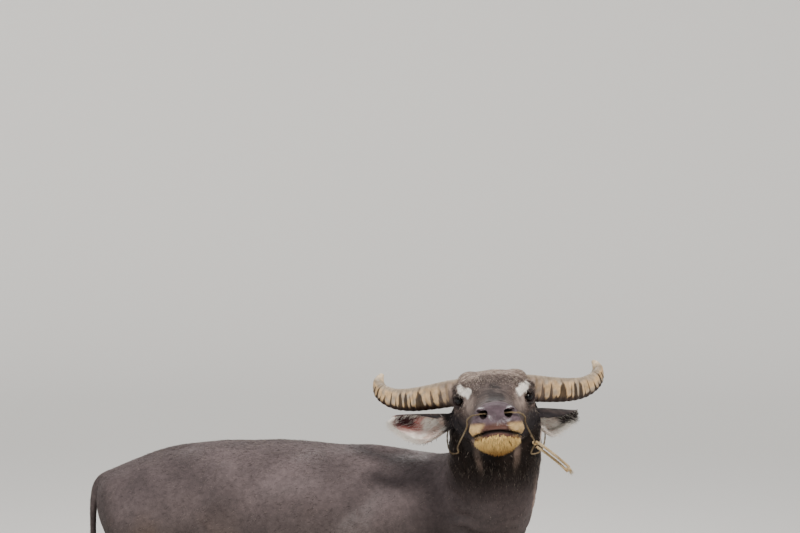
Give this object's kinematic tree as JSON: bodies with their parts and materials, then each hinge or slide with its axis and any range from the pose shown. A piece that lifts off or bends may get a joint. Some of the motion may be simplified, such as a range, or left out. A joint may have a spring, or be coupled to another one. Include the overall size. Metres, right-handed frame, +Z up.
{
  "type": "water buffalo",
  "caption": "Life-size swamp buffalo cow standing with its head turned to its right side, long back-swept horns and a rope through the nose.",
  "frame": {"origin": "on the ground, under the middle of the bounding box without the free rope ends", "axes": "+X towards the chest, +Y to the animal's left side, +Z up; the head looks along -Y"},
  "size_m": [1.9462, 1.129, 1.5704],
  "materials": {
    "hide": "dark grey skin with sparse pale hair",
    "horn": "dry ridged horn, pale tips",
    "hoof": "dark worn hoof",
    "eye": "wet and dark",
    "rope": "twisted fibre"
  },
  "bodies": {
    "root": {"torso": "hide", "neck": "hide", "head": "hide", "ear_left": "hide", "ear_right": "hide", "leg_fore_left": "hide", "leg_fore_right": "hide", "leg_hind_left": "hide", "leg_hind_right": "hide", "tail": "hide", "tail_switch": "hide", "horn_left": "horn", "horn_right": "horn", "eye_left": "eye", "eye_right": "eye", "hoof_fore_left": "hoof", "hoof_fore_right": "hoof", "hoof_hind_left": "hoof", "hoof_hind_right": "hoof", "dewclaw_inner_fore_left": "hoof", "dewclaw_outer_fore_left": "hoof", "dewclaw_inner_fore_right": "hoof", "dewclaw_outer_fore_right": "hoof", "dewclaw_inner_hind_left": "hoof", "dewclaw_outer_hind_left": "hoof", "dewclaw_inner_hind_right": "hoof", "dewclaw_outer_hind_right": "hoof", "nose_rope": "rope", "rope_knot": "rope", "rope_end_upper": "rope", "rope_end_lower": "rope", "rope_end_knot": "rope"}
  },
  "joints": []
}
